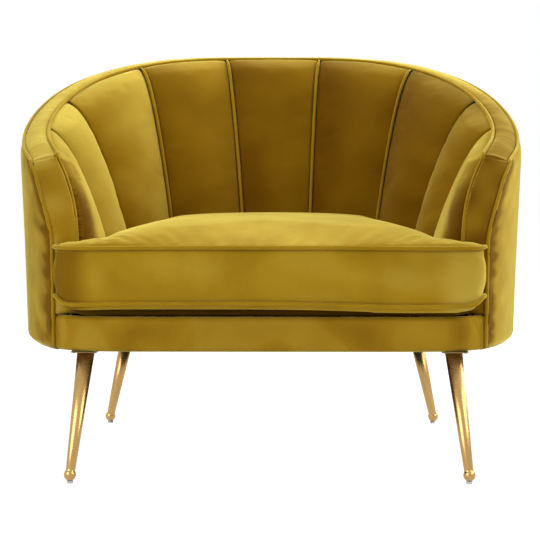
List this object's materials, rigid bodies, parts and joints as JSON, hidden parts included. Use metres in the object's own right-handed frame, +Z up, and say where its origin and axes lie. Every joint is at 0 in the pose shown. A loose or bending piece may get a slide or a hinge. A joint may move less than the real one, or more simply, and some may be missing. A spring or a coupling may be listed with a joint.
{
  "type": "upholstered tub chair",
  "caption": "Wide low tub chair with a channelled, piped velvet back that sweeps into the arms, a loose T-shaped seat cushion and splayed tapered metal legs.",
  "frame": {"origin": "middle of the bounding box on the floor, under the seat", "axes": "+X to the right seen from the front, -Y to the front, +Z up"},
  "size_m": [0.8614, 0.718, 0.7211],
  "materials": {
    "tub_velvet": "velvet",
    "channel_velvet": "velvet",
    "cushion_velvet": "velvet",
    "piping_velvet": "velvet",
    "leg_metal": "brushed",
    "glide_clear": "satin",
    "plate_brass": "plated",
    "frame_timber": "sawn",
    "seat_web": "woven",
    "deck_lining": "felt",
    "dust_lining": "non-woven"
  },
  "bodies": {
    "chair_body": {"arm_facing_left": "tub_velvet", "arm_facing_right": "tub_velvet", "arm_post_left": "frame_timber", "arm_post_right": "frame_timber", "back_channel_1": "channel_velvet", "back_channel_2": "channel_velvet", "back_channel_3": "channel_velvet", "back_channel_4": "channel_velvet", "back_channel_5": "channel_velvet", "back_channel_6": "channel_velvet", "back_channel_7": "channel_velvet", "back_channel_8": "channel_velvet", "back_channel_9": "channel_velvet", "back_panel": "frame_timber", "base_ring": "frame_timber", "corner_block_front_left": "frame_timber", "corner_block_front_right": "frame_timber", "corner_block_rear_left": "frame_timber", "corner_block_rear_right": "frame_timber", "deck_pad": "deck_lining", "dust_cover": "dust_lining", "front_rail_cover": "tub_velvet", "glide_front_left": "glide_clear", "glide_front_right": "glide_clear", "glide_rear_left": "glide_clear", "glide_rear_right": "glide_clear", "inner_piping": "piping_velvet", "leg_front_left": "leg_metal", "leg_front_right": "leg_metal", "leg_plate_front_left": "plate_brass", "leg_plate_front_right": "plate_brass", "leg_plate_rear_left": "plate_brass", "leg_plate_rear_right": "plate_brass", "leg_rear_left": "leg_metal", "leg_rear_right": "leg_metal", "outer_cover": "tub_velvet", "outer_piping": "piping_velvet", "rim_band": "tub_velvet", "seam_welt_1": "piping_velvet", "seam_welt_2": "piping_velvet", "seam_welt_3": "piping_velvet", "seam_welt_4": "piping_velvet", "seat_rail_front": "frame_timber", "seat_rail_left": "frame_timber", "seat_rail_rear": "frame_timber", "seat_rail_right": "frame_timber", "seat_webbing_1": "seat_web", "seat_webbing_2": "seat_web", "seat_webbing_3": "seat_web", "seat_webbing_4": "seat_web", "seat_webbing_5": "seat_web", "top_hoop": "frame_timber", "upright_1": "frame_timber", "upright_2": "frame_timber", "upright_3": "frame_timber", "upright_4": "frame_timber"},
    "cushion": {"seat_cushion": "cushion_velvet", "cushion_piping_top": "piping_velvet", "cushion_piping_bottom": "piping_velvet"}
  },
  "joints": [
    {"name": "cushion_lift", "type": "slide", "parent": "chair_body", "child": "cushion", "axis": [0, 0, 1], "range_m": [0, 0.3]}
  ]
}
